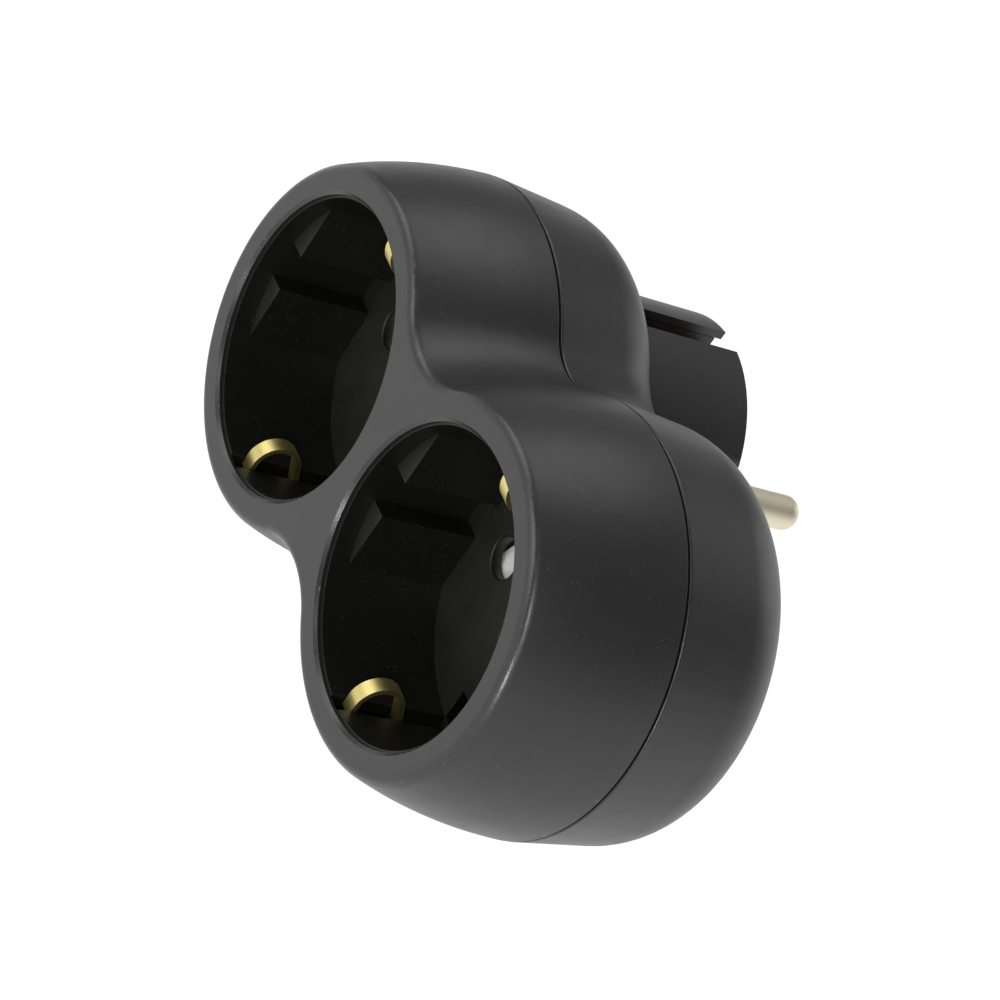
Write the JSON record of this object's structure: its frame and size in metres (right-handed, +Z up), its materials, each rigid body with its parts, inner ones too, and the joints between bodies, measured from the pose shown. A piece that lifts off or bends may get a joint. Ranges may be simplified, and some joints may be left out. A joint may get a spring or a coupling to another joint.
{
  "type": "double socket adapter",
  "caption": "Plug-in adapter with a figure-eight case, one earthed round plug behind and two recessed earthed wells with sprung shutters in front.",
  "frame": {"origin": "centre of the plug's end, on the plug's axis", "axes": "+Y out of the plug into the wall, +X from the well in line with the plug to the other well, +Z up"},
  "size_m": [0.0979, 0.0766, 0.0544],
  "materials": {
    "case_front": "fine satin grey thermoplastic",
    "case_rear": "fine satin dark grey thermoplastic",
    "well": "dark satin thermoplastic",
    "carrier": "dark moulded thermoplastic",
    "pin_body": "dark moulded thermoplastic",
    "shutter": "white slippery thermoplastic",
    "brass": "bright rolled strip",
    "nickel": "satin nickel plated, turned",
    "spring_wire": "drawn steel wire",
    "screw": "zinc plated"
  },
  "bodies": {
    "adapter": {"front_cover": "case_front", "rear_cover": "case_rear", "socket_left": "well", "socket_right": "well", "earth_bow_left": "brass", "earth_bow_right": "brass", "shutter_spring_left": "spring_wire", "shutter_spring_right": "spring_wire", "contact_carrier_left": "carrier", "contact_carrier_right": "carrier", "contact_left_live": "brass", "contact_left_neutral": "brass", "contact_right_live": "brass", "contact_right_neutral": "brass", "live_bar": "brass", "neutral_bar": "brass", "plug_pin_live": "nickel", "plug_pin_neutral": "nickel", "pin_carrier": "pin_body", "plug_earth_top": "brass", "plug_earth_bottom": "brass", "earth_link": "brass", "contact_rivets": "brass", "earth_rivets": "brass", "case_screw_left": "screw", "case_screw_right": "screw"},
    "left_shutter": {"shutter_left": "shutter"},
    "right_shutter": {"shutter_right": "shutter"}
  },
  "joints": [
    {"name": "left_shutter_slide", "type": "slide", "parent": "adapter", "child": "left_shutter", "axis": [0, 0, -1], "range_m": [0, 0.0061], "stiffness_N_per_m": 150, "springref_m": -0.004, "deforming": ["shutter_spring_left"]},
    {"name": "right_shutter_slide", "type": "slide", "parent": "adapter", "child": "right_shutter", "axis": [0, 0, -1], "range_m": [0, 0.0061], "stiffness_N_per_m": 150, "springref_m": -0.004, "deforming": ["shutter_spring_right"]}
  ]
}
